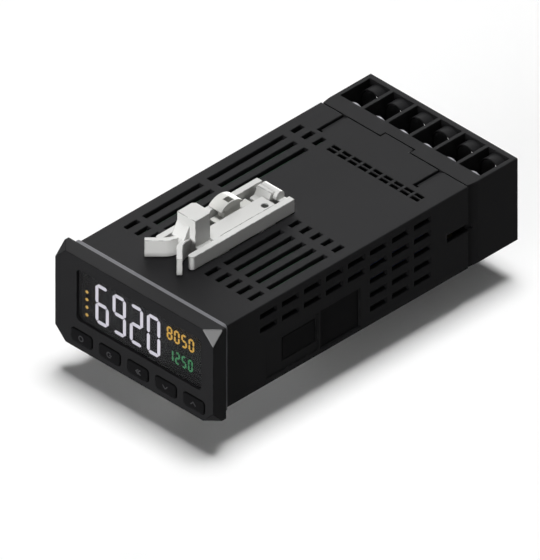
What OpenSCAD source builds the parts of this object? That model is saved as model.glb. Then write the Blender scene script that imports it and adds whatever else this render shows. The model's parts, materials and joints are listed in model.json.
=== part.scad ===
// Panel-mounted digital controller: a long, shallow case behind a 48 x 24 front,
// held in a panel cut-out by two push-on adapters, with a pull-off screw terminal block.
// Millimetres, +Z up, the front faces -Y. The origin is the centre of the packing's rear
// face, which seals on the panel. Modules measure depth from the bezel's rear face.

/* [Front] */
// Width of the front frame
front_w = 48; // [47:0.5:50]
// Height of the front frame
front_h = 24; // [23.5:0.5:26]
// Thickness of the front frame
front_t = 4; // [4:0.1:5]
// Size of the flat cut across each front corner of the frame
front_corner = 3.2; // [1:0.1:3.6]
// Thickness of the packing between the frame and the panel
gasket_t = 1.5; // [1:0.1:2]
// Height that a key stands proud of the frame
key_proud = 0.35; // [0.2:0.05:0.6]
// Distance between neighbouring keys
key_pitch = 8.5; // [7.6:0.1:8.6]
// Height of the key row's centre line
key_z = -8.6; // [-8.7:0.05:-8.5]

/* [Case] */
// Width of the case, which passes through the panel cut-out
case_w = 44.7; // [44.5:0.1:45]
// Height of the case
case_h = 21.5; // [21.4:0.1:22]
// Depth from the front frame to the seam with the terminal block
case_d = 75; // [75:0.5:84]
// Wall thickness of the case
wall = 1.3; // [1:0.1:1.4]
// Corner radius of the case and the terminal block
case_corner = 0.3; // [0.3:0.1:1.2]
// Distance between neighbouring rows of top vents
vent_pitch = 3.27; // [3:0.01:3.4]
// Width of a vent slot
vent_w = 1.2; // [0.8:0.1:1.4]

/* [Terminals] */
// Depth of the terminal block
block_d = 15; // [14.6:0.1:18]
// Terminals in each row
ways = 6; // [2:1:6]
// Distance between neighbouring terminals
way_pitch = 7.2; // [7.2:0.05:7.3]
// Height of the terminal screws above mid-height
screw_z = 6.9; // [6.85:0.05:6.95]
// Radius of the screwdriver holes in the rear wall
driver_r = 2.85; // [2.5:0.05:2.9]

/* [Adapters] */
// Overall width across an adapter's two rails
adapter_w = 11.5; // [11.5:0.1:11.8]
// Sideways place of an adapter's middle on the case
adapter_x = -2.9; // [-3:0.05:-2.8]
// Height of an adapter's push block above the case
push_h = 9.45; // [7:0.05:11]
// Height of an adapter's rails above the case
rail_h = 3.4; // [3.2:0.1:3.8]

/* [Hidden] */
$fn = 48;
past = 1;                       // how far a cutter runs past the face it opens

half_w = case_w / 2;
half_h = case_h / 2;
in_w = case_w - 2 * wall;
in_h = case_h - 2 * wall;
rear_y = case_d + block_d;      // rear end, from the bezel's rear face
seam_gap = 0.15;
notch_x = [-4.5, 4.5];          // notch in the terminal block's front edge
notch_d = 1.7;
notch_h = 1.3;

// display
window_x = 1.4;                 // middle of the window
window_z = 2.2;
window_w = 37.6;
window_h = 13.2;
window_t = 1.2;
window_y = -front_t + 0.4;      // outer face of the window
lcd_w = 36.4;
lcd_h = 13.4;
pocket_y = -1.6;                // floor of the pockets in the frame's rear face

// keys
key_count = 5;
key_w = 6.2;
key_h = 3.2;
key_x0 = -15.8 + (8.5 - key_pitch) * 2;
key_fit = 0.15;

// boards
board_t = 1;
board_w = 41.4;
pin_hole_r = 0.6;               // holes for the blades' feet
board_y = [9, 71];
main_z = 6.2;                   // underside of the upper board
power_z = -7.2;                 // underside of the lower board
display_board_y = 4.7;

// terminals
cell_w = 6.2;
cell_y = [case_d + 3.6, rear_y - 1.4];
cell_z = 1;
lip_d = 1.1;                    // how far the block's top laps over a cell's front end
blade_z = 3;
screw_r = 1.5;
head_r = 2.5;
head_y = cell_y[0] + 1.8;       // underside of a screw head
plate_t = 0.7;

// adapters
rail_w = 1.7;
glide = 0.15;                   // gap between an adapter and the case
half_ad = adapter_w / 2;
ad_z = half_h + glide;
hook_y = [[19, 22.5], [33, 36.5]];
latch_x = [-3.75, -0.75];       // from the adapter's middle
latch_y = [25.4, 36.3];
latch_z = [0.3, 1.7];           // from the adapter's underside
arm_h = 4.3;
plate_x = -0.45;                // edge of the side plate, next to the latch

function way_x(i) = (i - (ways - 1) / 2) * way_pitch;
function key_x(i) = key_x0 + i * key_pitch;

// Depths are measured from the bezel's rear face, which is gasket_t in front of the origin
module from_bezel() {
    translate([0, -gasket_t, 0]) children();
}

// A block between two limits along each axis
module brick(x, y, z) {
    translate([x[0], y[0], z[0]]) cube([x[1] - x[0], y[1] - y[0], z[1] - z[0]]);
}

module rounded_rect(w, h, r) {
    square([w - 2 * r, h], center = true);
    square([w, h - 2 * r], center = true);
    for (sx = [-1, 1], sz = [-1, 1])
        translate([sx * (w / 2 - r), sz * (h / 2 - r)]) circle(r);
}

// A rounded outline in the XZ plane, carried from y[0] to y[1]
module slab(w, h, r, y) {
    translate([0, y[1], 0]) rotate([90, 0, 0]) linear_extrude(y[1] - y[0])
        rounded_rect(w, h, r);
}

// A round bar along Y
module bar_y(r, y) {
    translate([0, y[1], 0]) rotate([90, 0, 0]) cylinder(h = y[1] - y[0], r = r);
}

// A round bar along X
module bar_x(r, x) {
    translate([x[0], 0, 0]) rotate([0, 90, 0]) cylinder(h = x[1] - x[0], r = r);
}

module each_way() {
    for (i = [0 : ways - 1]) translate([way_x(i), 0, 0]) children();
}

module both_sides() {
    children();
    mirror([1, 0, 0]) children();
}

module both_faces() {
    children();
    rotate([0, 180, 0]) children();
}

module lower_row() {
    mirror([0, 0, 1]) children();
}

// ---------- front ----------

// Cutter for the flat across one front corner: it meets both edges of the front face at
// front_corner from the corner, and the edge along the depth a little closer
module corner_cut() {
    fall = 0.956;
    reach = 3 * front_corner;
    translate([front_w / 2 - front_corner, -front_t, front_h / 2])
        rotate([0, 0, -atan(1 / fall)]) rotate([0, acos(fall / norm([fall, fall, 1])), 0])
            translate([-reach, -reach, 0]) cube([2 * reach, 2 * reach, front_corner]);
}

// Moulded front frame: window ledge, key holes, and a collar that snaps into the case
module bezel() {
    collar_w = in_w - 0.4;
    collar_h = in_h - 0.4;
    collar_wall = 0.8;
    collar_d = 8;
    color("#202022") from_bezel() {
        difference() {
            slab(front_w, front_h, 0.4, [-front_t, 0]);
            both_sides() both_faces() corner_cut();
            translate([window_x, 0, window_z]) {
                slab(window_w, window_h, 1, [-front_t - past, window_y + window_t]);
                slab(window_w - 2.4, window_h - 2.2, 0.6, [-front_t - past, past]);
                slab(lcd_w + 0.3, lcd_h + 0.3, 0.2, [pocket_y, past]);
            }
            for (i = [0 : key_count - 1]) translate([key_x(i), 0, key_z])
                slab(key_w + 2 * key_fit, key_h + 2 * key_fit, 0.9, [-front_t - past, past]);
            key_pocket();
        }
        difference() {
            slab(collar_w, collar_h, 0.6, [0, collar_d]);
            slab(collar_w - 2 * collar_wall, collar_h - 2 * collar_wall, 0.4,
                 [-past, collar_d + past]);
        }
        both_faces() for (x = [-12, 12]) snap_lug(x, 0);
    }
}

// The long pocket behind the keys, which holds their flanges and the rubber pad
module key_pocket() {
    brick([key_x(0) - 4.2, key_x(4) + 4.2], [pocket_y, past], [key_z - 2, key_z + 2.1]);
}

// Lug on the collar, and with play added the dent in the case that it snaps into
module snap_lug(x, play) {
    brick([x - 2 - play, x + 2 + play], [5 - play, 6 + play],
          [in_h / 2 - 0.3, in_h / 2 + 0.25 + play]);
}

// Smoked clear window, bonded on the frame's ledge
module display_window() {
    color("#0c0c10") from_bezel() translate([window_x, 0, window_z])
        slab(window_w - 0.2, window_h - 0.2, 0.9, [window_y, window_y + window_t]);
}

// Rubber packing behind the frame
module panel_gasket() {
    color("#8c8c90") from_bezel() difference() {
        slab(case_w + 1, case_h + 1.4, 1, [0, gasket_t]);
        slab(case_w + 0.1, case_h + 0.1, case_corner, [-past, gasket_t + past]);
    }
}

// Key cap with its flange behind the frame and the stem that reaches its switch
module key_cap() {
    slab(key_w, key_h, 0.8, [-front_t - key_proud, pocket_y - 0.01]);
    slab(key_w + 1, key_h + 0.6, 0.8, [pocket_y + 0.05, pocket_y + 0.55]);
    slab(key_w, key_h, 0.8, [pocket_y - 0.02, pocket_y + 0.06]);
    brick([-1.2, 1.2], [pocket_y + 0.5, 1.85], [0.6, 1.8]);
}

module key_at(i) {
    color("#2c2c2f") from_bezel() translate([key_x(i), 0, key_z]) key_cap();
}

module key_level() { key_at(0); }
module key_mode() { key_at(1); }
module key_shift() { key_at(2); }
module key_down() { key_at(3); }
module key_up() { key_at(4); }

// Thin rubber sheet that closes the key pocket, open round each stem
module key_pad() {
    color("#4a4a4e") from_bezel() difference() {
        brick([key_x(0) - 4.1, key_x(4) + 4.1], [-0.55, -0.05], [key_z - 1.9, key_z + 2]);
        for (i = [0 : key_count - 1])
            brick([key_x(i) - 1.5, key_x(i) + 1.5], [-past, past], [key_z + 0.3, key_z + 2.1]);
    }
}

// Display cell: a glass sandwich in the pocket behind the window
module lcd_glass() {
    color("#101820") from_bezel() translate([window_x, 0, window_z])
        slab(lcd_w, lcd_h, 0.2, [pocket_y + 0.05, -0.15]);
}

frame_x = [-17.6, 20];
frame_z = [-4.6, 8.1];

// Milky sheet that spreads the backlight
module light_diffuser() {
    color("#f0f0ec") from_bezel()
        brick([frame_x[0] + 1, frame_x[1] - 1], [0.1, 0.9], [frame_z[0] + 1, frame_z[1] - 1]);
}

// White light box that carries the cell on the display board
module display_frame() {
    color("#e8e8e4") from_bezel() difference() {
        brick(frame_x, [0, display_board_y], frame_z);
        brick([frame_x[0] + 0.9, frame_x[1] - 0.9], [-past, display_board_y + past],
              [frame_z[0] + 0.9, frame_z[1] - 0.9]);
    }
}

// Two rows of side-by-side lamps on the display board
module backlight_leds() {
    color("#f4e9b0") from_bezel()
        for (x = [-13 : 5.6 : 16], z = [-1, 4.6])
            brick([x, x + 3], [display_board_y - 0.9, display_board_y], [z, z + 1.5]);
}

// Board behind the display
module display_board() {
    color("#1d6b3a") from_bezel()
        brick([-19.4, 19.9], [display_board_y, display_board_y + board_t], [-8.2, 8.2]);
}

// One push switch behind each key stem
module tact_switches() {
    color("#b8b8bc") from_bezel()
        for (i = [0 : key_count - 1]) translate([key_x(i), 0, key_z + 1.7]) {
            brick([-1.6, 1.6], [2.7, display_board_y], [-1.2, 1.7]);
            bar_y(0.9, [2.2, 2.8]);
        }
}

// Right-angle header that joins the display board to the upper board
module front_header() {
    color("#26262a") from_bezel() {
        brick([-10.5, 10.5], [board_y[0] + 0.2, board_y[0] + 2.8], [main_z - 2.6, main_z]);
        for (x = [-9 : 2 : 9])
            brick([x - 0.25, x + 0.25], [display_board_y + board_t, board_y[0] + 0.3],
                  [main_z - 1.6, main_z - 1.1]);
    }
}

// ---------- case ----------

// Slots of one top or bottom face, as an outline seen from above
module top_vents() {
    right_rows = [[12.2, 16], [18, 35.2], [37.6, 40.4]];
    left_rows = [[12.2, 16], [18, 35.2], [37.6, 60.4], [62.8, 65.8]];
    for (i = [0 : 4], y = right_rows)
        translate([5.7 + i * vent_pitch - vent_w / 2, y[0]]) square([vent_w, y[1] - y[0]]);
    for (i = [0 : 2], y = left_rows)
        translate([-12.25 - i * vent_pitch - vent_w / 2, y[0]]) square([vent_w, y[1] - y[0]]);
    // cross row near the rear, two short slots deep
    for (i = [0 : 8], y = [63.4, 64.8])
        translate([-9 + i * 3.15, y]) square([2.2, 0.8]);
}

// Slots of one side face, as an outline seen from that side, depth across and height up
module side_vents() {
    row_pitch = 3.65;
    slot_pitch = 6.67;
    for (row = [0 : 4]) translate([0, 8 - row * row_pitch - vent_w / 2])
        for (i = [(row < 2 ? 0 : 5) : 7])
            translate([12 + i * slot_pitch, 0]) square([4.9, vent_w]);
}

// Windows for an adapter's hooks, and the rack that its latch runs over
module adapter_tracks() {
    for (side = [-1, 1]) translate([adapter_x, 0, 0]) {
        x = side * (half_ad - rail_w / 2);
        inner = x - side * 0.75;
        brick([x - 0.75, x + 0.75], [13.4, 41.9], [half_h - wall - past, half_h + past]);
        for (y = [23.6, 37.6])
            brick([min(inner, inner - side), max(inner, inner - side)], [y, y + 4.3],
                  [half_h - wall - past, half_h + past]);
    }
    for (y = [20 : 1.2 : 35])
        brick([adapter_x + latch_x[0] + 0.4, adapter_x + latch_x[1] - 0.4], [y, y + 0.6],
              [half_h - 0.45, half_h + past]);
}

// Slots in the rear edge for the terminal block's latch tongues
tongue_x = [-15, 14];

module tongue_slots() {
    for (x = tongue_x)
        brick([x - 0.65, x + 0.65], [case_d - 7.8, case_d + past],
              [half_h - wall - past, half_h + past]);
}

// Shallow beds for the rating labels on the right side
label_a = [[18.8, 29], [-6.9, -0.9]];
label_b = [[30.3, 42.1], [-9.5, 0.4]];
label_step = [[13.9, 29.4], [-9.1, 0.2]];
bed_depth = 0.6;

module label_bed(limits, depth) {
    brick([half_w - depth, half_w + past], limits[0], limits[1]);
}

// Ribs that hold one board's long edge
module board_ribs(z) {
    for (side = [-1, 1], dz = [-0.9, board_t + 0.1])
        brick([side > 0 ? in_w / 2 - 1.3 : -in_w / 2 - 0.1, side > 0 ? in_w / 2 + 0.1 : -in_w / 2 + 1.3],
              [12, 60], [z + dz, z + dz + 0.8]);
}

// Long moulded case, open at the front, with a rear wall slotted for the blades
module rear_case() {
    rear_wall = 1.5;
    color("#343436") from_bezel() {
        difference() {
            slab(case_w, case_h, case_corner, [0, case_d]);
            slab(in_w, in_h, 0.3, [-past, case_d - rear_wall]);
            both_faces() {
                for (x = [-12, 12]) snap_lug(x, 0.15);
                translate([0, 0, half_h - wall - past]) linear_extrude(wall + 2 * past)
                    top_vents();
                adapter_tracks();
                tongue_slots();
            }
            both_sides() {
                translate([half_w - wall - past, 0, 0]) rotate([90, 0, 90])
                    linear_extrude(wall + 2 * past) side_vents();
                brick([half_w - wall - past, half_w + past], [68.7, case_d + past], [-0.8, 1.05]);
            }
            each_way() for (side = [-1, 1])
                brick([-0.8, 0.8], [case_d - rear_wall - past, case_d + past],
                      [side * blade_z - 1.1, side * blade_z + 1.1]);
            label_bed(label_a, bed_depth);
            label_bed(label_b, bed_depth);
            label_bed(label_step, bed_depth / 2);
        }
        board_ribs(main_z);
        board_ribs(power_z);
        // tab that fills the terminal block's notch
        both_faces()
            brick([notch_x[0] + seam_gap, notch_x[1] - seam_gap],
                  [case_d - past, case_d + notch_d - seam_gap], [half_h - notch_h + seam_gap, half_h]);
    }
}

// Blank label films in their beds
module nameplates() {
    film = 0.15;
    edge = 0.25;
    color("#1c1c1e") from_bezel() for (limits = [label_a, label_b])
        brick([half_w - bed_depth, half_w - bed_depth + film],
              [limits[0][0] + edge, limits[0][1] - edge],
              [limits[1][0] + edge, limits[1][1] - edge]);
}

// ---------- boards and what they carry ----------

module flat_board(z) {
    brick([-board_w / 2, board_w / 2], board_y, [z, z + board_t]);
}

module main_board() {
    color("#1d6b3a") from_bezel() difference() {
        flat_board(main_z);
        each_way() translate([0, 69.4, main_z]) cylinder(h = 3 * board_t, r = pin_hole_r, center = true);
    }
}

module power_board() {
    color("#1d6b3a") from_bezel() difference() {
        flat_board(power_z);
        each_way() translate([0, 69.4, power_z]) cylinder(h = 3 * board_t, r = pin_hole_r, center = true);
    }
}

power_top = power_z + board_t;

// Pin strip that joins the two boards
module board_link() {
    color("#26262a") from_bezel() {
        brick([-7.6, 7.6], [35, 37.5], [power_top, power_top + 8.5]);
        for (x = [-6 : 2 : 6])
            brick([x - 0.3, x + 0.3], [35.95, 36.55], [power_top + 8.4, main_z]);
    }
}

module controller_chip() {
    color("#18181a") from_bezel() brick([-6, 6], [17, 29], [main_z - 1.6, main_z]);
}

module signal_chips() {
    color("#18181a") from_bezel()
        for (x = [-17, 11], y = [16, 24]) brick([x, x + 6], [y, y + 5], [main_z - 1.7, main_z]);
}

transformer_at = [-12, 58, power_top + 5.7];

// Ferrite core with a middle leg and two windows
module transformer_core() {
    color("#3a3432") from_bezel() translate(transformer_at) difference() {
        brick([-7, 7], [-3.5, 3.5], [-5.7, 5.7]);
        for (side = [-1, 1])
            brick([side * 3.6 - 1.6, side * 3.6 + 1.6], [-4, 4], [-3.8, 3.8]);
    }
}

// Winding round the core's middle leg
module transformer_winding() {
    color("#b9742e") from_bezel() translate(transformer_at) difference() {
        brick([-5.1, 5.1], [-6.5, 6.5], [-3.7, 3.7]);
        brick([-2.05, 2.05], [-3.6, 3.6], [-4, 4]);
    }
}

module relays() {
    color("#2d4f86") from_bezel()
        for (x = [1.6, 9.8]) brick([x, x + 7], [49.5, 67], [power_top, power_top + 10.4]);
}

module capacitors() {
    color("#22304c") from_bezel() for (x = [-5, 6, 15.5])
        translate([x, 43.3, power_top]) cylinder(h = 11, r = 4);
}

module varistor() {
    color("#c9862c") from_bezel() translate([-15, 0, power_top + 3.6]) bar_y(3.6, [41, 44.4]);
}

// Right-angle blades: a foot through the upper board and a tongue through the rear wall
module blades() {
    each_way() {
        brick([-0.4, 0.4], [69, case_d + 3], [blade_z - 0.8, blade_z + 0.8]);
        brick([-0.4, 0.4], [69, 69.8], [blade_z + 0.7, main_z + board_t + 0.6]);
    }
}

module upper_blades() {
    color("#c8c2a8") from_bezel() blades();
}

module lower_blades() {
    color("#c8c2a8") from_bezel() lower_row() blades();
}

// ---------- terminal block ----------

// What is cut from the block for the upper row of terminals
module row_cuts() {
    cell_x = [-cell_w / 2, cell_w / 2];
    each_way() {
        brick(cell_x, cell_y, [cell_z, half_h - 0.9]);
        brick(cell_x, [cell_y[0] + lip_d, cell_y[1]], [cell_z, half_h + past]);
        brick([-1.5, 1.5], [case_d, cell_y[0] + past], [blade_z - 1.3, blade_z + 1.2]);
        translate([0, 0, screw_z]) bar_y(2.2, [case_d + 1.2, cell_y[0] + past]);
        translate([0, 0, screw_z]) bar_y(driver_r, [cell_y[1] - past, rear_y + past]);
    }
    // notch for the tab on the case
    brick(notch_x, [case_d - past, case_d + notch_d], [half_h - notch_h, half_h + past]);
}

// Tapered band along a side edge of the block, just behind the seam
module side_taper() {
    inset = 0.5;
    translate([0, 0, -half_h - past]) linear_extrude(case_h + 2 * past)
        polygon([[half_w - inset, case_d], [half_w + past, case_d],
                 [half_w + past, case_d + 2.8], [half_w, case_d + 2.8]]);
}

module terminal_block() {
    color("#343436") from_bezel() {
        difference() {
            slab(case_w, case_h, case_corner, [case_d + seam_gap, rear_y]);
            row_cuts();
            lower_row() row_cuts();
            both_sides() {
                side_taper();
                brick([half_w - 0.9, half_w + past], [case_d, case_d + 1.5], [-0.8, 1.05]);
            }
            // recess for the cold junction sensor
            brick([5.3, 9.1], [case_d, case_d + 3], [-1.1, 1.1]);
        }
        // latch tongues that sit in the case's slots
        both_faces() for (x = tongue_x)
            brick([x - 0.45, x + 0.45], [case_d - 7, case_d + seam_gap + 0.5],
                  [half_h - 1.15, half_h - 0.5]);
    }
}

// Nickel-plated plate in each cell, tapped for its screw, with a fork for the blade
module terminal_row() {
    each_way() difference() {
        union() {
            brick([-2.7, 2.7], [cell_y[0], cell_y[0] + plate_t], [blade_z - 1.4, 9.4]);
            translate([0, 0, screw_z]) bar_y(2.1, [cell_y[0] - 1.4, cell_y[0]]);
            brick([-1.2, 1.2], [case_d + 0.8, cell_y[0]], [blade_z - 1, blade_z + 1]);
        }
        translate([0, 0, screw_z]) bar_y(screw_r + 0.02, [cell_y[0] - 3, cell_y[0] + 3]);
        brick([-0.45, 0.45], [case_d, case_d + 3.4], [blade_z - 2, blade_z + 2]);
    }
}

module upper_terminals() {
    color("#d8d8d4") from_bezel() terminal_row();
}

module lower_terminals() {
    color("#d8d8d4") from_bezel() lower_row() terminal_row();
}

// Pan-head screw with a cross recess, its head towards the rear
module screw_row() {
    each_way() translate([0, 0, screw_z]) difference() {
        union() {
            bar_y(head_r, [head_y, head_y + 1.45]);
            bar_y(screw_r, [cell_y[0] - 2.2, head_y + 0.1]);
        }
        for (turn = [0, 90]) rotate([0, turn, 0])
            brick([-1.4, 1.4], [head_y + 0.6, head_y + 3], [-0.33, 0.33]);
    }
}

module upper_screws() {
    color("#c4c4c6") from_bezel() screw_row();
}

module lower_screws() {
    color("#c4c4c6") from_bezel() lower_row() screw_row();
}

// Square clamping washer held captive under each screw head
module washer_row() {
    each_way() translate([0, 0, screw_z]) difference() {
        brick([-2.8, 2.8], [head_y - 0.65, head_y - 0.05], [-2.8, 2.8]);
        bar_y(screw_r + 0.15, [cell_y[0], cell_y[0] + 3]);
    }
}

module upper_washers() {
    color("#b4b4b0") from_bezel() washer_row();
}

module lower_washers() {
    color("#b4b4b0") from_bezel() lower_row() washer_row();
}

// Temperature sensor that measures the terminals' own temperature
module cold_junction_sensor() {
    color("#18181a") from_bezel() brick([5.6, 8.8], [case_d + 0.8, case_d + 3], [-0.8, 0.8]);
}

// ---------- mounting adapters ----------

// One spring arm: it leaves the push block straight ahead, bends outwards to 45
// degrees, and ends in a flat face
module spring_arm() {
    root = [1.05, 13.9];
    bend_r = 4.5;
    half_t = 0.65;
    steps = 12;
    bend_mid = root + [bend_r, 0];
    back = [0, 1.2];
    ahead = 4.2 * [sin(45), -cos(45)];
    turns = [for (i = [0 : steps]) 45 * i / steps];
    outer = [for (turn = turns) bend_mid - (bend_r - half_t) * [cos(turn), sin(turn)]];
    inner = [for (turn = turns) bend_mid - (bend_r + half_t) * [cos(turn), sin(turn)]];
    linear_extrude(arm_h) polygon(concat(
        [inner[0] + back, outer[0] + back], outer, [outer[steps] + ahead, inner[steps] + ahead],
        [for (i = [steps : -1 : 0]) inner[i]]));
}

// Hooks under one rail, which pass through the case wall and grip it from inside
module rail_hooks() {
    x = half_ad - rail_w / 2;
    for (y = hook_y) {
        brick([x - 0.5, x + 0.5], y, [-wall - glide - 0.9, 0.2]);
        brick([x - 1.4, x + 0.5], y, [-wall - glide - 0.95, -wall - glide - 0.2]);
    }
}

// One moulding: two rails, spring arms, push block, side plate, ramp and rear bar.
// Drawn about its own middle, with its underside at zero.
module adapter_body() {
    rail_y = [10.75, 41.9];
    rail_in = half_ad - rail_w;
    member_h = 2.6;
    plate_h = rail_h - 0.3;
    block_x = [-2.95, 2.63];
    block_y = [14.85, 20];
    chamfer = 0.7;
    difference() {
        union() {
            both_sides() {
                brick([rail_in, half_ad], [rail_y[0] + rail_w / 2, rail_y[1]], [0, rail_h]);
                translate([half_ad - rail_w / 2, rail_y[0] + rail_w / 2, 0])
                    cylinder(h = rail_h, r = rail_w / 2);
                rail_hooks();
            }
            // arms, a little to the left of the middle, and the gusset behind them
            translate([-0.4, 0, 0]) both_sides() spring_arm();
            translate([block_x[0], 0, 0]) rotate([90, 0, 90]) linear_extrude(3.85)
                polygon([[block_y[0] - 1.65, 0], [block_y[0] + 0.1, 0],
                         [block_y[0] + 0.1, 7.5], [block_y[0] - 1.65, arm_h]]);
            // cross members
            for (y = [[block_y[0], block_y[1] + 1.4], [39.7, rail_y[1]]])
                brick([-half_ad + 0.5, half_ad - 0.5], y, [0, member_h]);
            // push block with chamfered rear corners
            linear_extrude(push_h) polygon([
                [block_x[0], block_y[0]], [block_x[1], block_y[0]],
                [block_x[1], block_y[1] - chamfer], [block_x[1] - chamfer, block_y[1]],
                [block_x[0] + chamfer, block_y[1]], [block_x[0], block_y[1] - chamfer]]);
            // plate beside the latch
            brick([plate_x, rail_in + 0.1], [block_y[1] - 1, 38], [0, plate_h]);
            // ramp block behind the latch, and the round bar across the rear
            translate([-2.7, 0, 0]) rotate([90, 0, 90]) linear_extrude(4.4)
                polygon([[36.5, 0], [41.7, 0], [41.7, 2.6], [39.9, 4.3], [39, 4.3], [37.9, 2.5],
                         [36.5, 2.2]]);
            translate([0, 40.6, 3.2]) bar_x(1.3, [-2.6, 2.7]);
        }
        // hole in the plate, and the groove that parts it from the rail
        translate([2.55, 35.95, -past]) cylinder(h = rail_h + 2 * past, r = 0.75);
        brick([rail_in - 0.25, rail_in], [21.4, 38 + past], [plate_h - 0.9, plate_h + past]);
    }
}

// Ratchet latch, hinged on the ramp block: a lever, a post, and an arched finger hump that
// reaches over the rail and has a pocket for a screwdriver's tip
module latch_body() {
    hump_y = 30.2;
    hump_top = rail_h + 1.7;
    arch_r = 4.53;
    hump_x = [-5.5, -1.5];
    pocket = 1.6;
    tooth_w = 1.8;
    brick(latch_x, latch_y, latch_z);
    difference() {
        union() {
            brick([latch_x[0] + 0.1, hump_x[1]], [hump_y - 2.4, hump_y + 2.4],
                  [latch_z[0], rail_h + 0.5]);
            intersection() {
                translate([0, hump_y, hump_top - arch_r]) bar_x(arch_r, hump_x);
                brick(hump_x, [hump_y - 4, hump_y + 4], [rail_h + 0.15, hump_top + past]);
            }
        }
        brick([-3.5, -3.5 + pocket], [hump_y - pocket / 2, hump_y + pocket / 2],
              [rail_h - 1, hump_top + past]);
    }
    // ratchet tooth
    translate([(latch_x[0] + latch_x[1] - tooth_w) / 2, 0, 0])
        rotate([90, 0, 90]) linear_extrude(tooth_w)
            polygon([[27, 0.5], [28.6, 0.5], [28.6, -0.08], [28.2, -0.08]]);
}

module on_top() {
    from_bezel() translate([adapter_x, 0, ad_z]) children();
}

module on_bottom() {
    from_bezel() rotate([0, 180, 0]) translate([adapter_x, 0, ad_z]) children();
}

module adapter_top() {
    color("#cfcfcf") on_top() adapter_body();
}

module latch_top() {
    color("#c6c6c6") on_top() latch_body();
}

module adapter_bottom() {
    color("#cfcfcf") on_bottom() adapter_body();
}

module latch_bottom() {
    color("#c6c6c6") on_bottom() latch_body();
}

bezel();
display_window();
panel_gasket();
key_level();
key_mode();
key_shift();
key_down();
key_up();
key_pad();
lcd_glass();
light_diffuser();
display_frame();
backlight_leds();
display_board();
tact_switches();
front_header();
rear_case();
nameplates();
main_board();
power_board();
board_link();
controller_chip();
signal_chips();
transformer_core();
transformer_winding();
relays();
capacitors();
varistor();
upper_blades();
lower_blades();
terminal_block();
upper_terminals();
lower_terminals();
upper_screws();
lower_screws();
upper_washers();
lower_washers();
cold_junction_sensor();
adapter_top();
latch_top();
adapter_bottom();
latch_bottom();
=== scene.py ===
"""Looks of a panel-mounted digital controller: a long vented case behind a 48 x 24 front with a lit
four-digit reading, two push-on mounting adapters and a screw terminal block at the rear."""
import json
import math

import bmesh
import bpy
import numpy as np
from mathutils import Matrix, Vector


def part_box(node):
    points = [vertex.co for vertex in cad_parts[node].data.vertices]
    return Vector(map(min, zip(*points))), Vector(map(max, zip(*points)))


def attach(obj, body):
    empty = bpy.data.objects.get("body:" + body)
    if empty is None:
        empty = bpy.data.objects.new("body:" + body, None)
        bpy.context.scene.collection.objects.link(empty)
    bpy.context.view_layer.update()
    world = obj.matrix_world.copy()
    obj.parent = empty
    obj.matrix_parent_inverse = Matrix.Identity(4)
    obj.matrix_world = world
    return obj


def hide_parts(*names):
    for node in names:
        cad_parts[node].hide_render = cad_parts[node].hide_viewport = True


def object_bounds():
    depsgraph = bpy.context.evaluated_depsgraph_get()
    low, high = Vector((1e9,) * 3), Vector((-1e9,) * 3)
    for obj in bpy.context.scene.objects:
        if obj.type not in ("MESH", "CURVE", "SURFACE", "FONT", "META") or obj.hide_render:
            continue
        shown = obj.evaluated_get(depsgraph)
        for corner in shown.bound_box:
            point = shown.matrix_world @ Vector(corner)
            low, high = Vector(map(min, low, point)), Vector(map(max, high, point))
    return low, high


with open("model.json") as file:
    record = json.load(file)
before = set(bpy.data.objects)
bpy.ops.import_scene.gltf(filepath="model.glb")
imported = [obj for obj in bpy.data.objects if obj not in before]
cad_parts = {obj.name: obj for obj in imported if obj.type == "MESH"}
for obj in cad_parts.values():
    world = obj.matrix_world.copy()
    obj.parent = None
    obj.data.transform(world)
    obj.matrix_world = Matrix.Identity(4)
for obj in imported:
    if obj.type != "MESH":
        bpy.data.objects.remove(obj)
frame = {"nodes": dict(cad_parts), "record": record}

cad_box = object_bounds()
mm = 0.001

# ---------------------------------------------------------------------------------------------
# Studio: a white floor under the lower adapter, a broad lamp overhead, one low at the front, one
# low behind the left, and a faint even sky. Two more lamps show in reflections only: one gives
# the top its sheen, the other the cut corners. All are suns, so the floor is lit evenly.
# ---------------------------------------------------------------------------------------------


class Socket:
    """One output of a node. A sum, difference or product with another output or a number, on
    either side, adds the Math node that works it out."""

    def __init__(self, tree, socket):
        self.tree = tree
        self.socket = socket

    def maths(self, operation, first, second):
        """The output of a Math node that does the operation on the two."""
        return self.tree.add("Math", {"operation": operation}, {0: first, 1: second})

    def __add__(self, other):
        return self.maths("ADD", self, other)

    def __sub__(self, other):
        return self.maths("SUBTRACT", self, other)

    def __rsub__(self, other):
        return self.maths("SUBTRACT", other, self)

    def __mul__(self, other):
        return self.maths("MULTIPLY", self, other)

    __radd__ = __add__
    __rmul__ = __mul__


class Tree:
    """The nodes of a material or of the sky."""

    def __init__(self, owner):
        owner.use_nodes = True
        self.nodes = owner.node_tree.nodes
        self.links = owner.node_tree.links

    def add(self, kind, settings={}, inputs={}, out=0):
        """Adds a node: its type, its settings, then its inputs' values or links. The result is
        the output asked for."""
        node = self.nodes.new("ShaderNode" + kind)
        for name, value in settings.items():
            setattr(node, name, value)
        self.join(node, inputs)
        return Socket(self, node.outputs[out])

    def join(self, node, inputs):
        """Links each of the node's inputs named to its output, or gives it its value."""
        for name, value in inputs.items():
            if isinstance(value, Socket):
                self.links.new(value.socket, node.inputs[name])
            else:
                node.inputs[name].default_value = value

    def seen(self):
        """One for a camera, mirror or glass ray, nought for a ray that gathers light."""
        rays = [self.add("LightPath", out=f"Is {kind} Ray")
                for kind in ("Camera", "Glossy", "Transmission")]
        return self.add("Clamp", {}, {"Value": rays[0] + rays[1] + rays[2]})


def swatch(red, green, blue):
    """Linear colour from a paint card's 0-255 values, each through the display curve backwards."""
    values = np.array([red, green, blue]) / 255
    curved = ((values + 0.055) / 1.055) ** 2.4
    return (*np.where(values <= 0.04045, values / 12.92, curved), 1)


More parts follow.
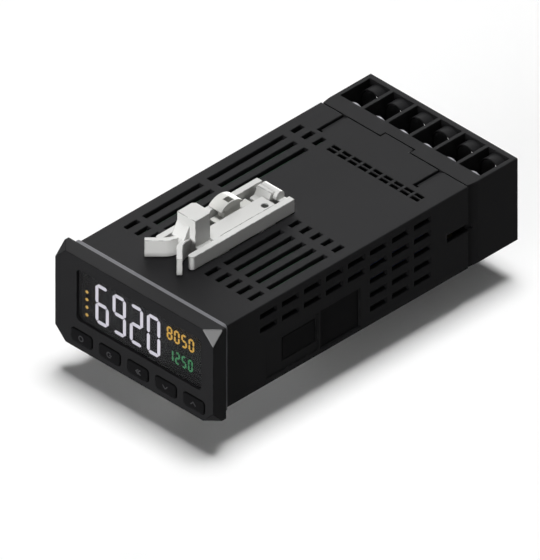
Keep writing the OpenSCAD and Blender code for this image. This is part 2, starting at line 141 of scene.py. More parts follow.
sky_light = 0.025
floor_seen = 0.99
floor_bounce = 0.15

world = bpy.data.worlds.new("sky")
bpy.context.scene.world = world
sky = Tree(world)
sky.join(sky.nodes["Background"], {"Color": (1, 1, 1, 1),
                                   "Strength": sky.seen() * (1 - sky_light) + sky_light})

floor_z = cad_box[0].z
floor_half = 2.0
floor_mesh = bpy.data.meshes.new("floor")
floor_mesh.from_pydata([(x * floor_half, y * floor_half, floor_z)
                        for x, y in ((-1, -1), (1, -1), (1, 1), (-1, 1))], [], [(0, 1, 2, 3)])
floor = bpy.data.objects.new("floor", floor_mesh)
bpy.context.scene.collection.objects.link(floor)
paint = bpy.data.materials.new("floor_paint")
floor_mesh.materials.append(paint)
coat = Tree(paint)
grey = coat.seen() * (floor_seen - floor_bounce) + floor_bounce
coat.join(coat.nodes["Principled BSDF"], {
    "Base Color": coat.add("CombineColor", {}, {0: grey, 1: grey, 2: grey}),
    "Roughness": 1.0, "Specular IOR Level": 0.0})


def lamp(name, towards, strength, spread, mirrored_only=False):
    """A sun whose light comes from the direction given, through a disc that many degrees wide."""
    light = bpy.data.lights.new(name, "SUN")
    light.energy = strength * math.pi
    light.angle = math.radians(spread)
    sun = bpy.data.objects.new(name, light)
    sun.rotation_euler = Vector(towards).to_track_quat("Z", "Y").to_euler()
    sun.visible_diffuse = not mirrored_only
    bpy.context.scene.collection.objects.link(sun)


lamp("overhead_lamp", (-0.02, 0.085, 1), 0.885, 24)
lamp("front_lamp", (0.06, -1.0, 0.02), 1.68, 27)
lamp("rear_lamp", (-0.5, 0.86, 0), 1.5, 6)
lamp("sheen_lamp", (-0.58, 0.58, 0.58), 1.02, 60, mirrored_only=True)
lamp("corner_lamp", (0.56, -0.61, 0.56), 0.17, 12, mirrored_only=True)

azimuth = math.radians(45)
elevation = math.atan(1 / math.sqrt(2))
aim = Vector((0, 35.7, -6.0)) * mm
view_width = 120.04 * mm
camera_away = 0.6
outward = Vector((math.cos(elevation) * math.sin(azimuth),
                  -math.cos(elevation) * math.cos(azimuth), math.sin(elevation)))
lens = bpy.data.cameras.new("camera")
lens.type = "ORTHO"
lens.ortho_scale = view_width
camera = bpy.data.objects.new("camera", lens)
camera.location = aim + outward * camera_away
camera.rotation_euler = outward.to_track_quat("Z", "Y").to_euler()
bpy.context.scene.collection.objects.link(camera)
bpy.context.scene.camera = camera
bpy.context.scene.view_settings.view_transform = "Standard"

# ---------------------------------------------------------------------------------------------
# Rear case: a long black box of glass-filled plastic, moulded in one shot with its vents,
# adapter tracks and label beds. Its skin has the fine grain of a spark-eroded mould, and dark
# grime has settled along its edges.
# ---------------------------------------------------------------------------------------------

bodies = frame["record"]["behaviour"]["bodies"]
carrier = {node: body for body, nodes in bodies.items() for node in nodes}


class Finish(Tree):
    """A material, and beside it the name of a slot in the record: its own name unless one is given.
    """

    def __init__(self, name, slot=None):
        self.slot = slot or name
        self.material = bpy.data.materials.new(name)
        super().__init__(self.material)
        self.shader = self.nodes["Principled BSDF"]
        self.point = self.add("TexCoord", out="Object")
        self.edge = self.add("Attribute", {"attribute_name": "edge"}, out="Fac")

    def noise(self, size, detail, stretch=(1, 1, 1)):
        """Cloudy values about a half, in blobs as wide as the size, drawn out by the stretch."""
        spots = self.add("Mapping", {}, {"Vector": self.point,
                                         "Scale": [1 / (size * each) for each in stretch]})
        return self.add("TexNoise", {}, {"Vector": spots, "Scale": 1.0, "Detail": detail})

    def rise(self, value, low, high):
        """Nought below low, one above high, with a smooth step between."""
        return self.add("MapRange", {"interpolation_type": "SMOOTHSTEP"},
                        {"Value": value, "From Min": low, "From Max": high})

    def blend(self, amount, first, second):
        """A colour that amount of the way from the first to the second."""
        return self.add("Mix", {"data_type": "RGBA"}, {0: amount, 6: first, 7: second}, out=2)

    def cover(self, inputs, height=None, depth=0.0):
        """Sets the shader's inputs, and its bumps from a height between nought and one."""
        self.join(self.shader, inputs)
        if height:
            bump = self.add("Bump", {}, {"Height": height, "Distance": depth, "Strength": 1.0})
            self.join(self.shader, {"Normal": bump})
        return self


def scaled(colour, factor):
    """A colour with its red, green and blue times the factor."""
    return (*(channel * factor for channel in colour[:3]), 1)


def moulded(name, colour, roughness=0.5, gloss=0.25, grain=0.16 * mm, depth=0.012 * mm,
            drift=0.12, slot=None):
    """Moulded plastic: pigment that drifts a little, mould grain, and grime along the edges."""
    cloud_size, grime_size = 9 * mm, 1.6 * mm
    grime_cover, grime_tone = 0.6, 0.15
    speck_share, cloud_share, grime_share = 0.12, 0.08, 0.15
    skin = Finish(name, slot)
    cloud = skin.noise(cloud_size, 3)
    speck = skin.noise(grain, 1)
    grime = skin.edge * skin.rise(skin.noise(grime_size, 3), 0.3, 0.6)
    pigment = skin.blend(cloud, scaled(colour, 1 - drift), scaled(colour, 1 + drift))
    return skin.cover({
        "Base Color": skin.blend(grime * grime_cover, pigment, scaled(colour, grime_tone)),
        "Roughness": (roughness + speck_share * (speck - 0.5) + cloud_share * (cloud - 0.5)
                      + grime_share * grime),
        "Specular IOR Level": gloss}, speck + 0.5 * cloud, depth)


def place(name, mesh, finish, *nodes, body=None):
    """Makes the object, gives it its finish, and lets it stand for the nodes on their body."""
    piece = bpy.data.objects.new(name, mesh)
    bpy.context.scene.collection.objects.link(piece)
    mesh.materials.append(finish.material)
    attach(piece, body or carrier[nodes[0]])
    if nodes:
        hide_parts(*nodes)
    shading = piece.modifiers.new("even_shading", "WEIGHTED_NORMAL")
    shading.keep_sharp = True


def written(form, name, sharp):
    """A mesh from the form, shaded smooth but for edges that turn further than sharp degrees."""
    mesh = bpy.data.meshes.new(name)
    form.to_mesh(mesh)
    form.free()
    mesh.polygons.foreach_set("use_smooth", [True] * len(mesh.polygons))
    mesh.set_sharp_from_angle(angle=math.radians(sharp))
    return mesh


def softened(name, node, radius, finish, strips=2):
    """Places a copy of a CAD node's mesh with its outward edges rounded.

    Points on top of each other are merged and flat neighbours joined. Each outward edge where
    the faces turn by a corner's angle gets strips of faces over the radius, marked edge."""
    flat_turn, corner_turn, sharp_turn = 0.5, 30, 20
    weld = 0.001 * mm
    form = bmesh.new()
    form.from_mesh(frame["nodes"][node].data)
    bmesh.ops.remove_doubles(form, verts=form.verts, dist=weld)
    bmesh.ops.dissolve_limit(form, angle_limit=math.radians(flat_turn), verts=form.verts,
                             edges=form.edges)
    corners = [edge for edge in form.edges if edge.is_manifold and edge.is_convex
               and edge.calc_face_angle() > math.radians(corner_turn)]
    rounded = bmesh.ops.bevel(form, geom=corners, offset=radius, segments=strips, profile=0.5,
                              affect="EDGES", clamp_overlap=False)
    strip_faces = set(rounded["faces"])
    marks = [float(face in strip_faces) for face in form.faces]
    mesh = written(form, node, sharp_turn)
    mesh.attributes.new("edge", "FLOAT", "FACE").data.foreach_set("value", marks)
    place(name, mesh, finish, node)


case_skin = moulded("case_black", swatch(31, 31, 32), gloss=0.02)
softened("case_moulding", "rear_case", 0.2 * mm, case_skin)

# ---------------------------------------------------------------------------------------------
# Nameplates: two blank dark films in the beds on the case's right side. They are die-cut
# polyester with a fine matt grain, stuck down.
# ---------------------------------------------------------------------------------------------

film = moulded("label_film", swatch(20, 20, 21), roughness=0.45, gloss=0.01, grain=0.5 * mm,
               depth=0.004 * mm)
softened("label_films", "nameplates", 0.03 * mm, film)

# ---------------------------------------------------------------------------------------------
# Packing: a grey closed-cell rubber ring between the front frame and the panel, moulded with a
# shallow groove round its edge so that it squashes evenly.
# ---------------------------------------------------------------------------------------------


def outline_rings(rings, steps=7):
    """Rounded rectangles in the XZ plane, one for each (half width, half height, corner radius,
    depth). A point is its corner's centre plus the radius times its angle's cosine and sine."""
    half_w, half_h, corner, depth = (column[:, None] for column in np.array(rings, float).T)
    angle = np.concatenate([np.linspace(q, q + 1, steps) for q in range(4)]) * math.pi / 2
    side_x = np.repeat([1, -1, -1, 1], steps)
    side_z = np.repeat([1, 1, -1, -1], steps)
    x = side_x * (half_w - corner) + corner * np.cos(angle)
    z = side_z * (half_h - corner) + corner * np.sin(angle)
    return np.stack([x, np.broadcast_to(depth, x.shape), z], -1)


def skinned(name, *grids):
    """One mesh over grids of rings. Each four neighbours get a face and each ring closes on
    itself; points on top of each other merge, which closes ends; faces are turned outwards."""
    sharp_turn, weld = 35, 0.002 * mm
    points, faces, start = [], [], 0
    for grid in grids:
        index = np.arange(grid.shape[0] * grid.shape[1]).reshape(grid.shape[:2]) + start
        beside = np.roll(index, -1, axis=1)
        faces.append(np.stack([index[:-1], beside[:-1], beside[1:], index[1:]], -1).reshape(-1, 4))
        points.append(grid.reshape(-1, 3))
        start += index.size
    loose = bpy.data.meshes.new(name + "_grids")
    loose.from_pydata(np.concatenate(points).tolist(), [], np.concatenate(faces).tolist())
    form = bmesh.new()
    form.from_mesh(loose)
    bpy.data.meshes.remove(loose)
    bmesh.ops.remove_doubles(form, verts=form.verts, dist=weld)
    bmesh.ops.recalc_face_normals(form, faces=form.faces)
    return written(form, name, sharp_turn)


def rubber(name, colour):
    """Rubber: a dull, finely pitted skin with dusty patches."""
    patch_size, pit_size, pit_depth = 5 * mm, 0.35 * mm, 0.02 * mm
    skin = Finish(name)
    dust = skin.rise(skin.noise(patch_size, 4), 0.45, 0.75)
    pits = skin.noise(pit_size, 2)
    return skin.cover({
        "Base Color": skin.blend(dust * 0.5, scaled(colour, 0.94), scaled(colour, 1.12)),
        "Roughness": 0.78 + 0.12 * (pits - 0.5), "Specular IOR Level": 0.2}, pits, pit_depth)


packing_low, packing_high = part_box("panel_gasket")
packing_mid = (packing_low + packing_high) / 2
outer = (packing_high - packing_low) / 2
case_high, case_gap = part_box("rear_case")[1], 0.05 * mm
inner_x, inner_z = case_high.x + case_gap, case_high.z + case_gap
corner_mid, corner_half = 0.85 * mm, 0.2 * mm
squareness, groove_depth, groove_half = 0.3, 0.06 * mm, 0.25
turns = np.linspace(0, 2 * math.pi, 41)
# The section runs once round a square with rounded corners: the cosine and the sine, each with
# its sign kept and its size to a small power. The groove is a bell-shaped dip on the outside.
across = np.sign(np.cos(turns)) * np.abs(np.cos(turns)) ** squareness
deep = np.sign(np.sin(turns)) * np.abs(np.sin(turns)) ** squareness
groove = groove_depth * (across > 0) * np.exp(-(deep / groove_half) ** 2)
packing_rings = np.stack([
    (outer.x + inner_x) / 2 + across * (outer.x - inner_x) / 2 - groove,
    (outer.z + inner_z) / 2 + across * (outer.z - inner_z) / 2 - groove,
    corner_mid + across * corner_half,
    packing_mid.y + deep * outer.y], -1)
place("packing_ring", skinned("packing_ring", outline_rings(packing_rings)),
      rubber("packing_grey", swatch(116, 116, 120)), "panel_gasket")

# ---------------------------------------------------------------------------------------------
# Front frame: the bezel, moulded in black plastic with a finer grain than the case. It clips
# into the case. Handling has polished the flat across its top right corner.
# ---------------------------------------------------------------------------------------------

front_low, front_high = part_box("bezel")
frame_skin = moulded("frame_black", swatch(34, 34, 35), roughness=0.52, gloss=0.02,
                     grain=0.1 * mm, depth=0.006 * mm)
axes = frame_skin.add("SeparateXYZ", {}, {"Vector": frame_skin.point}).socket.node.outputs
x, y, z = (Socket(frame_skin, axis) for axis in axes)
cut_size, cut_fall = 3.2 * mm, 0.956
# Nought on the flat and less behind it: the distance past the corner's line, times the flat's
# fall, less the distance back from the face. The coat covers only what is near nought.
above_cut = cut_fall * (x + z - (front_high.x + front_high.z - cut_size)) - (y - front_low.y)
polished = frame_skin.rise(above_cut, -0.15 * mm, -0.05 * mm)
frame_skin.cover({"Coat Weight": polished, "Coat Roughness": 0.3})
softened("front_frame", "bezel", 0.15 * mm, frame_skin)

# ---------------------------------------------------------------------------------------------
# Window: a smoked acrylic plate bonded on the frame's ledge, polished, with faint finger marks.
# What is lit behind it shows through, and the rest of the display is hidden.
# ---------------------------------------------------------------------------------------------

clearness, finger_size = 0.5, 4 * mm
smoked = Finish("window_smoked")
fingers = smoked.rise(smoked.noise(finger_size, 4, (1, 1, 2)), 0.5, 0.75)
smoked.cover({"Base Color": smoked.blend(fingers * 0.3, swatch(11, 11, 13), swatch(20, 20, 23)),
              "Roughness": 0.1 + 0.14 * fingers, "Specular IOR Level": 0.16,
              "Alpha": 1 - clearness})
softened("smoked_window", "display_window", 0.12 * mm, smoked, strips=3)

# ---------------------------------------------------------------------------------------------
# Reading: the display's lit parts, thin bars just behind the window's face. A large white
# reading has a small amber and a small green one beside it and a column of amber marks.
# ---------------------------------------------------------------------------------------------

window_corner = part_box("display_window")[0]
lit_front = window_corner.y + 0.08 * mm
lit_back = lit_front + 0.06 * mm
# The bars of a digit, by (column, row) ends on a grid one stroke pitch wide and two high.
bar_ends = {"a": ((0, 2), (1, 2)), "b": ((1, 1), (1, 2)), "c": ((1, 0), (1, 1)),
            "d": ((0, 0), (1, 0)), "e": ((0, 0), (0, 1)), "f": ((0, 1), (0, 2)),
            "g": ((0, 1), (1, 1))}
digit_bars = {"0": "abcdef", "1": "bc", "2": "abged", "5": "afgcd", "6": "afgcde",
              "8": "abcdefg", "9": "abcdfg"}


def lit_bar(start, end, stroke):
    """A bar with pointed ends between two points, as rings of six corners at its two depths,
    each closed by a ring drawn to its middle."""
    start, end = np.array(start), np.array(end)
    gap_share = 0.12
    along = (end - start) / np.linalg.norm(end - start)
    side = np.array([-along[1], along[0]]) * stroke / 2
    tip = along * stroke / 2
    gap = along * stroke * gap_share
    ring = np.array([start + gap, start + gap + tip + side, end - gap - tip + side, end - gap,
                     end - gap - tip - side, start + gap + tip - side])
    middle = np.broadcast_to((start + end) / 2, ring.shape)
    rows = [(middle, lit_front), (ring, lit_front), (ring, lit_back), (middle, lit_back)]
    return np.stack([np.stack([flat[:, 0], np.full(6, depth), flat[:, 1]], -1)
                     for flat, depth in rows])


def reading(text, left, bottom, width, tall, pitch, stroke):
    """The bars of a row of digits, each digit's strokes on a grid between its outer edges."""
    bars = []
    step = np.array([width - stroke, (tall - stroke) / 2])
    for count, digit in enumerate(text):
        corner = np.array([left + count * pitch + stroke / 2, bottom + stroke / 2])
        bars += [lit_bar(*(corner + step * end for end in bar_ends[bar]), stroke)
                 for bar in digit_bars[digit]]
    return bars


def lit(name, colour):
    """A lit ink: its own light, uneven by a tenth as the lamps behind it are."""
    seen_strength, patch_size = 0.95, 3 * mm
    glow = Finish(name, slot="lcd_dark")
    patch = glow.noise(patch_size, 1)
    return glow.cover({
        "Base Color": glow.blend(patch, scaled(colour, 0.2), scaled(colour, 0.3)),
        "Emission Color": glow.blend(patch, scaled(colour, 0.9), scaled(colour, 1.1)),
        "Emission Strength": seen_strength / clearness, "Roughness": 0.6})


# Each reading: its colour's name, digits, left and bottom edge in the window, a digit's width
# and height, the pitch and the stroke, in millimetres, and its ink.
for colour, text, left, bottom, width, tall, pitch, stroke, ink in (
        ("main", "6920", 5.1, 1.6, 4.0, 10.3, 5.2, 0.85, lit("lit_white", swatch(205, 202, 212))),
        ("amber", "8050", 26.7, 8.1, 1.7, 3.4, 2.2, 0.48, lit("lit_amber", swatch(190, 150, 60))),
        ("green", "1250", 27.3, 2.8, 1.4, 3.1, 1.95, 0.4, lit("lit_green", swatch(52, 122, 78)))):
    bars = reading(text, window_corner.x + left * mm, window_corner.z + bottom * mm,
                   width * mm, tall * mm, pitch * mm, stroke * mm)
    place(colour + "_reading", skinned(colour + "_reading", *bars), ink, body="case")
mark_ends = window_corner.x + np.array([1.9, 3.1]) * mm
mark_rows = window_corner.z + np.array([2.1, 4.1, 6.1, 8.1]) * mm
mark_stroke = 0.75 * mm
place("status_marks", skinned("status_marks", *[
    lit_bar((mark_ends[0], row), (mark_ends[1], row), mark_stroke) for row in mark_rows]),
    lit("lit_amber_marks", swatch(205, 165, 80)), body="case")

# ---------------------------------------------------------------------------------------------
# Display stack behind the window: the dark glass cell, the milky sheet and white box that spread
# the light, the lamps on their board, and the header that joins it to the upper board.
# ---------------------------------------------------------------------------------------------


def board(name, mask):
    """A circuit board: green mask over glass cloth, raised a hair where copper tracks run under
    it along the board's length and across it."""
    long_size, cross_size, cloth_size, track_h = 1.1 * mm, 1.3 * mm, 0.4 * mm, 0.035 * mm
    skin = Finish(name)
    long_tracks = skin.rise(skin.noise(long_size, 0, (1, 14, 1)), 0.5, 0.54)
    cross_tracks = skin.rise(skin.noise(cross_size, 0, (12, 1, 9)), 0.56, 0.6)
    copper = skin.add("Clamp", {}, {"Value": long_tracks + cross_tracks})
    cloth = skin.noise(cloth_size, 1)
    return skin.cover({
        "Base Color": skin.blend(copper * 0.7 + cloth * 0.2, mask, scaled(mask, 1.9)),
        "Roughness": 0.32 + 0.2 * cloth, "Specular IOR Level": 0.4}, copper + 0.2 * cloth,
        track_h)


def metal(name, colour, roughness, stretch=(1, 1, 1), tarnish=0.2, slot=None):
    """Plated or rolled metal: fine lines along its rolling or turning, and patches of tarnish."""
    line_size, line_depth, patch_size = 0.12 * mm, 0.006 * mm, 2.2 * mm
    skin = Finish(name, slot)
    lines = skin.noise(line_size, 2, stretch)
    dull = skin.rise(skin.noise(patch_size, 4), 0.45, 0.7)
    return skin.cover({
        "Base Color": skin.blend(dull * tarnish, colour, scaled(colour, 0.55)),
        "Metallic": 1 - 0.15 * dull,
        "Roughness": roughness + 0.16 * (lines - 0.5) + 0.12 * dull,
        "Specular IOR Level": 0.5}, lines, line_depth)


glass, smear_size = Finish("lcd_dark"), 6 * mm
smear = glass.noise(smear_size, 3)
glass.cover({"Base Color": glass.blend(smear, swatch(20, 22, 27), swatch(28, 31, 37)),
             "Roughness": 0.1 + 0.08 * smear, "Specular IOR Level": 0.3})
softened("display_cell", "lcd_glass", 0.08 * mm, glass)
softened("milky_sheet", "light_diffuser", 0.1 * mm,
         moulded("diffuser_milk", swatch(236, 236, 232), 0.6, 0.3, 0.3 * mm, drift=0.03))
softened("light_box", "display_frame", 0.12 * mm,
         moulded("light_box_white", swatch(228, 228, 222), 0.45, 0.35, drift=0.04))
softened("display_lamps", "backlight_leds", 0.1 * mm,
         moulded("lamp_yellow", swatch(236, 214, 150), 0.25, 0.5, 0.3 * mm, drift=0.08))
green_board = board("board_green", swatch(12, 40, 26))
softened("display_circuit", "display_board", 0.04 * mm, green_board)
header_skin = moulded("header_black", swatch(30, 30, 33), 0.5, 0.3)
softened("board_header", "front_header", 0.06 * mm, header_skin)

# ---------------------------------------------------------------------------------------------
# Keys: five satin caps in one row, each with a flange behind the frame and a stem that reaches
# its switch. Their crowns carry plain raised signs. A rubber sheet closes the row from behind.
# ---------------------------------------------------------------------------------------------


def ridge(path, width, front, back):
    """A square bar carried along a flat path: at each point its corners lie half a width to
    either side, square to the path. The ends are drawn to a point."""
    path = np.array(path, float)
    along = np.gradient(path, axis=0)
    along /= np.linalg.norm(along, axis=1)[:, None]
    side = np.stack([-along[:, 1], along[:, 0]], -1) * width / 2
    corners = [(path + side, front), (path - side, front), (path - side, back),
               (path + side, back)]
    grid = np.stack([np.stack([flat[:, 0], np.full(len(flat), depth), flat[:, 1]], -1)
                     for flat, depth in corners], 1)
    middles = grid.mean(axis=1, keepdims=True).repeat(4, axis=1)
    return np.concatenate([middles[:1], grid, middles[-1:]])


def chevron(x, z, wide, tall, steps=9):
    """A line from one end through a corner to the other: along it t runs from -1 to 1, and the
    height is tall times a half less the size of t."""
    t = np.linspace(-1, 1, steps)
    return np.stack([x + wide * t, z + tall * (0.5 - np.abs(t))], -1)


def arc(x, z, radius, start, end, steps=25):
    """Points at even angles between two, in degrees, on a circle about x and z."""
    t = np.radians(np.linspace(start, end, steps))
    return np.stack([x + radius * np.cos(t), z + radius * np.sin(t)], -1)


def sign_paths(key, x, z):
    """The plain sign on each key: a ring, a broken ring with a stop, a double arrow and arrows."""
    size = 0.62 * mm
    leftward = chevron(0, 0, size, 1.3 * size)[:, ::-1] * [-1, 1]
    return {"key_level": [arc(x, z, size, 0, 360)],
            "key_mode": [arc(x, z, size, 40, 320), [(x + 0.2 * size, z), (x + 1.3 * size, z)]],
            "key_shift": [leftward + [x, z], leftward + [x + size, z]],
            "key_down": [chevron(x, z, 1.2 * size, -1.3 * size)],
            "key_up": [chevron(x, z, 1.2 * size, 1.3 * size)]}[key]


key_skin = moulded("key_black", swatch(20, 20, 21), roughness=0.5, gloss=0.01, grain=0.12 * mm,
                   depth=0.008 * mm)
sign_ink = moulded("key_signs", swatch(54, 54, 56), roughness=0.5, gloss=0.1, drift=0.08,
                   slot="key_black")
sign_rise, sign_width, sign_sunk = 0.05 * mm, 0.26 * mm, 0.06 * mm
flange_back, flange_t = 3.3 * mm, 0.5 * mm
flange_beyond_x, flange_beyond_z = 0.5 * mm, 0.3 * mm
corner_r, fillet, crown_h, crown_r = 0.8 * mm, 0.28 * mm, 0.04 * mm, 0.5 * mm
stem_half_x, stem_half_z, stem_r = 1.2 * mm, 0.6 * mm, 0.15 * mm
stem_up, stem_lap = 1.2 * mm, 0.05 * mm
stem_middle, stem_side = (stem_half_x - stem_half_z, 0, 0), (stem_half_x, stem_half_z, stem_r)
quarter = np.linspace(0, math.pi / 2, 6)
for key in ("key_level", "key_mode", "key_shift", "key_down", "key_up"):
    key_low, key_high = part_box(key)
    x, z = (key_low.x + key_high.x) / 2, (key_low.z + key_high.z) / 2
    wide, tall = (key_high.x - key_low.x) / 2, (key_high.z - key_low.z) / 2
    cap_w, cap_h = wide - flange_beyond_x, tall - flange_beyond_z
    front, flange = key_low.y + sign_rise, key_low.y + flange_back
    rings = [(wide - tall, 0, 0, flange), (wide, tall, corner_r, flange),
             (wide, tall, corner_r, flange - flange_t), (cap_w, cap_h, corner_r, flange - flange_t)]
    # The cap's rim is a quarter circle, and its crown falls with the square of the way out.
    rings += [(cap_w - inwards, cap_h - inwards, corner_r - inwards, front + crown_h + down)
              for inwards, down in zip(fillet * (1 - np.cos(quarter)),
                                       fillet * (1 - np.sin(quarter)))]
    rings += [(cap_w - cap_h + (cap_h - fillet) * (1 - t), (cap_h - fillet) * (1 - t),
               crown_r * (1 - t), front + crown_h * (1 - t) ** 2) for t in (0.3, 0.6, 0.8, 1)]
    stem = [(*stem_middle, flange - stem_lap), (*stem_side, flange - stem_lap),
            (*stem_side, key_high.y), (*stem_middle, key_high.y)]
    place(key + "_cap", skinned(key, outline_rings(rings) + [x, 0, z],
                                outline_rings(stem) + [x, 0, z + stem_up]), key_skin, key)
    place(key + "_sign", skinned(key + "_sign", *[
        ridge(path, sign_width, key_low.y, front + sign_sunk) for path in sign_paths(key, x, z)]),
        sign_ink, body=key)

softened("key_sheet", "key_pad", 0.05 * mm, rubber("key_rubber", swatch(76, 76, 80)))
softened("key_switches", "tact_switches", 0.08 * mm,
         metal("switch_steel", swatch(186, 186, 188), 0.34, (1, 8, 1)))

# ---------------------------------------------------------------------------------------------
# Circuit boards: an upper board with the controller and signal chips soldered under it, a lower
# power board, and the pin strip between them.
# ---------------------------------------------------------------------------------------------

softened("upper_circuit", "main_board", 0.04 * mm, green_board)
softened("lower_circuit", "power_board", 0.04 * mm, green_board)
softened("pin_strip", "board_link", 0.06 * mm, header_skin)
chip_skin = moulded("chip_black", swatch(28, 28, 30), 0.6, 0.25, 0.08 * mm)
lead_finish = metal("chip_leads", swatch(190, 190, 186), 0.3, slot="blade_brass")


def smooth_step(value, low, high):
    """Nought to one between two limits, along a cubic that is level at both."""
    t = np.clip((value - low) / (high - low), 0, 1)
    return t * t * (3 - 2 * t)


def chip_leads(low, high, count, along_y):
    """Bent leads down both sides of a chip: a flat strip leaves the side, turns towards the board
    along a smooth step, and ends flat on it. Rings of four corners follow that path."""
    reach, half_w, half_t, sunk = 0.9 * mm, 0.13 * mm, 0.06 * mm, 0.1 * mm
    first, last = 0.08, 0.92
    t = np.linspace(0, 1, 9)
    height = low.z + (high.z - low.z) * (0.5 + 0.5 * smooth_step(t, 0, 1)) - sunk
    leads = []
    for side in (-1, 1):
        for along in np.linspace(first, last, count):
            rows = []
            for rise, shift in ((-half_t, -half_w), (-half_t, half_w),
                                (half_t, half_w), (half_t, -half_w)):
                if along_y:
                    x = (high.x if side > 0 else low.x) + side * reach * t
                    y = np.full(len(t), low.y + (high.y - low.y) * along + shift)
                else:
                    x = np.full(len(t), low.x + (high.x - low.x) * along + shift)
                    y = (high.y if side > 0 else low.y) + side * reach * t
                rows.append(np.stack([x, y, height + rise], -1))
            grid = np.stack(rows, 1)
            middles = grid.mean(axis=1, keepdims=True).repeat(4, axis=1)
            leads.append(np.concatenate([middles[:1], grid, middles[-1:]]))
    return leads


softened("controller_package", "controller_chip", 0.15 * mm, chip_skin)
softened("signal_packages", "signal_chips", 0.15 * mm, chip_skin)
chip_low, chip_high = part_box("controller_chip")
leads_a_side = 16
place("controller_leads", skinned("controller_leads",
      *chip_leads(chip_low, chip_high, leads_a_side, along_y=True),
      *chip_leads(chip_low, chip_high, leads_a_side, along_y=False)),
      lead_finish, body="case")

# ---------------------------------------------------------------------------------------------
# Power parts on the lower board: a transformer wound with enamelled wire on a ferrite core, two
# relays in sealed blue covers, three capacitors and a dipped varistor.
# ---------------------------------------------------------------------------------------------

softened("ferrite_core", "transformer_core", 0.25 * mm,
         moulded("ferrite", swatch(66, 60, 58), 0.75, 0.3, 0.25 * mm, 0.03 * mm, 0.2))
coil_low, coil_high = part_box("transformer_winding")
coil_mid, coil_half = (coil_low + coil_high) / 2, (coil_high - coil_low) / 2
turn_count, bend_r, inner_layer = 9, 1.2 * mm, 2.8
wire_r = coil_half.z / turn_count
round_wire = np.linspace(0, 2 * math.pi, 13)
loops = []
for turn in range(turn_count):
    for inset in (wire_r, inner_layer * wire_r):
        # One turn of wire: a rounded rectangle carried round the wire's own circle.
        tube = outline_rings(np.stack([
            coil_half.x - inset + wire_r * np.cos(round_wire),
            coil_half.y - inset + wire_r * np.cos(round_wire),
            bend_r + wire_r * np.cos(round_wire), wire_r * np.sin(round_wire)], -1), 5)
        tube = tube[:, :, [0, 2, 1]]
        tube[:, :, 2] += (2 * turn + 1) * wire_r - coil_half.z
        loops.append(tube + np.array(coil_mid))
place("wire_winding", skinned("wire_winding", *loops),
      metal("winding_tape", swatch(196, 118, 58), 0.3, tarnish=0.35), "transformer_winding")
softened("relay_covers", "relays", 0.3 * mm,
         moulded("relay_blue", swatch(44, 82, 150), 0.3, 0.45, 0.2 * mm), strips=3)


def turned(profile, centre, steps=40):
    """A profile of (radius, height) spun about a vertical line through the centre."""
    radius, height = np.array(profile, float).T[:, :, None]
    angle = np.linspace(0, 2 * math.pi, steps, endpoint=False)
    x = centre[0] + radius * np.cos(angle)
    y = centre[1] + radius * np.sin(angle)
    return np.stack([x, y, np.broadcast_to(centre[2] + height, x.shape)], -1)


can_low, can_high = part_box("capacitors")
can_r, can_h = (can_high.y - can_low.y) / 2, can_high.z - can_low.z
can_x = (-5 * mm, 6 * mm, 15.5 * mm)
# A can's outline in parts of its radius and height, with the crimped neck and the rolled rim.
can_profile = [(0, 0), (0.92, 0), (1, 0.02), (1, 0.1), (0.9, 0.13), (0.9, 0.15), (1, 0.18),
               (1, 0.97), (0.96, 1), (0.86, 1), (0.84, 0.985), (0, 0.985)]
cans = [turned(np.array(can_profile) * [can_r, can_h],
               (x, (can_low.y + can_high.y) / 2, can_low.z)) for x in can_x]
place("capacitor_cans", skinned("capacitor_cans", *cans),
      moulded("capacitor_sleeve", swatch(34, 44, 78), 0.3, 0.45, 0.6 * mm), "capacitors")
softened("dipped_varistor", "varistor", 0.8 * mm,
         moulded("varistor_coat", swatch(196, 130, 44), 0.3, 0.45, 0.8 * mm, 0.02 * mm), strips=4)

# ---------------------------------------------------------------------------------------------
# Terminal block: a black moulding that pulls off the case's rear, with an open cell for each
# terminal and a round hole behind each screw, with a sleeve inside that guides the driver. The
# blades that enter it are soldered to the upper board.
# ---------------------------------------------------------------------------------------------

softened("block_moulding", "terminal_block", 0.12 * mm, case_skin)


def sleeve(x, z, front, back, bore_r, wall, around=48):
    """A short tube along Y: the (radius, depth) corners of its wall's section, the two at the
    mouth cut, spun about the line through x and z."""
    cut = 0.12 * mm
    outer_r = bore_r + wall
    section = [(bore_r, back), (bore_r, front + cut), (bore_r + cut, front),
               (outer_r - cut, front), (outer_r, front + cut), (outer_r, back), (bore_r, back)]
    radius, depth = np.array(section).T[:, :, None]
    angle = np.linspace(0, 2 * math.pi, around, endpoint=False)
    return np.stack([x + radius * np.cos(angle), np.broadcast_to(depth, (len(section), around)),
                     z + radius * np.sin(angle)], -1)


def row_middles(row):
    """The radius of a row's screw heads and the x and z of their middles, from the row's box."""
    ways = 6
    low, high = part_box(row + "_screws")
    radius = (high.z - low.z) / 2
    return radius, np.linspace(low.x + radius, high.x - radius, ways), (low.z + high.z) / 2


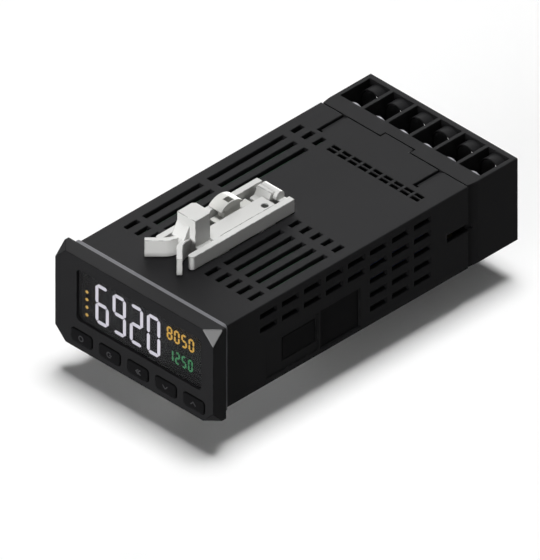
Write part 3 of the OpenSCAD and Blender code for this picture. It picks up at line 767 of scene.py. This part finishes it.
rear_wall, sleeve_reach = 1.35 * mm, 2.65 * mm
driver_r, sleeve_wall = 2.85 * mm, 0.45 * mm
wall_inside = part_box("terminal_block")[1].y - rear_wall
sleeves = []
for row in ("upper", "lower"):
    _, middles, z = row_middles(row)
    sleeves += [sleeve(x, z, wall_inside - sleeve_reach, wall_inside, driver_r, sleeve_wall)
                for x in middles]
place("driver_sleeves", skinned("driver_sleeves", *sleeves), case_skin,
      body=carrier["terminal_block"])
softened("sensor_bead", "cold_junction_sensor", 0.2 * mm, chip_skin)
brass = metal("blade_brass", swatch(206, 196, 160), 0.3, (6, 1, 1))
nickel = metal("terminal_nickel", swatch(216, 215, 208), 0.24, (8, 1, 1))
washer_steel = metal("washer_steel", swatch(176, 176, 172), 0.36, (1, 1, 7))
for row in ("upper", "lower"):
    softened(row + "_blade_set", row + "_blades", 0.06 * mm, brass)
    softened(row + "_plates", row + "_terminals", 0.08 * mm, nickel)
    softened(row + "_clamp_washers", row + "_washers", 0.1 * mm, washer_steel)

# ---------------------------------------------------------------------------------------------
# Terminal screws: six in each row, zinc-plated steel. Each has a pan head with a cross recess,
# a rolled thread and a flat tip.
# ---------------------------------------------------------------------------------------------


def screw(x, z, tip, top, head_r, head_h, shank_r, around=48):
    """A pan head over a threaded shank, in rings round a line along Y. The head's face is a dome
    less a cross, whose depth steps smoothly at its edges; the shank's radius rises and falls as
    the distance along it, less the turn, repeats each pitch."""
    pitch, ridge_h, rings_a_pitch = 0.6 * mm, 0.13 * mm, 6
    run_out, point_share = 0.3 * mm, 0.7
    dome_h, cross_share = 0.12 * head_r, 0.45
    angle = np.linspace(0, 2 * math.pi, around, endpoint=False)
    face_r = head_r * np.array([0, 0.1, 0.2, 0.3, 0.4, 0.5, 0.56, 0.62, 0.68, 0.76, 0.84, 0.91])
    rim = head_h * np.array([0, 0.1, 0.3, 0.9, 1.0])
    rim_r = head_r * np.array([0.955, 0.985, 1.0, 1.0, 0.97])
    u, v = face_r[:, None] * np.cos(angle), face_r[:, None] * np.sin(angle)
    arm, half, soft = head_r * 0.56, head_r * 0.13, head_r * 0.07

    def groove(along, aside):
        """One through the cross's arm, nought past its ends and its sides."""
        return (1 - smooth_step(abs(along), arm - soft, arm + soft)) * (
            1 - smooth_step(abs(aside), half - soft, half + soft))

    cross = np.maximum(groove(u, v), groove(v, u))
    dome = dome_h * (face_r[:, None] / head_r) ** 2
    face_y = top - dome - cross * cross_share * head_h
    rim_y = top - dome_h - rim
    shank_y = np.arange(rim_y[-1], tip + run_out, -pitch / rings_a_pitch)
    wave = np.abs(((shank_y[:, None] / pitch - angle / (2 * math.pi)) % 1) * 2 - 1)
    shank = shank_r - ridge_h * wave
    rim_shape = (len(rim), around)
    radius = np.concatenate([np.broadcast_to(face_r[:, None], u.shape),
                             np.broadcast_to(rim_r[:, None], rim_shape), shank,
                             np.full((1, around), shank_r * point_share), np.zeros((1, around))])
    depth = np.concatenate([face_y, np.broadcast_to(rim_y[:, None], rim_shape),
                            np.broadcast_to(shank_y[:, None], shank.shape),
                            np.full((2, around), tip)])
    return np.stack([x + radius * np.cos(angle), depth, z + radius * np.sin(angle)], -1)


zinc = metal("screw_steel", swatch(105, 105, 109), 0.5, (1, 6, 1))
head_h, shank_r = 1.1 * mm, 1.48 * mm
for row in ("upper", "lower"):
    low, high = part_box(row + "_screws")
    head_r, middles, z = row_middles(row)
    place(row + "_pan_screws", skinned(row + "_pan_screws", *[
        screw(x, z, low.y, high.y, head_r, head_h, shank_r) for x in middles]),
        zinc, row + "_screws")

# ---------------------------------------------------------------------------------------------
# Mounting adapters: light grey mouldings that slide on along the case, one above and one below,
# and grip the panel between their spring arms and the front frame. Each holds itself on a rack
# with a hinged latch of the same plastic.
# ---------------------------------------------------------------------------------------------

adapter_skin = moulded("adapter_grey", swatch(205, 205, 203), roughness=0.5, gloss=0.1,
                       grain=0.2 * mm, depth=0.01 * mm, drift=0.03)
latch_skin = moulded("latch_grey", swatch(206, 206, 202), roughness=0.48, gloss=0.1,
                     grain=0.2 * mm, depth=0.01 * mm, drift=0.03)
for level in ("top", "bottom"):
    softened(level + "_adapter_moulding", "adapter_" + level, 0.15 * mm, adapter_skin)
    softened(level + "_latch_lever", "latch_" + level, 0.12 * mm, latch_skin)
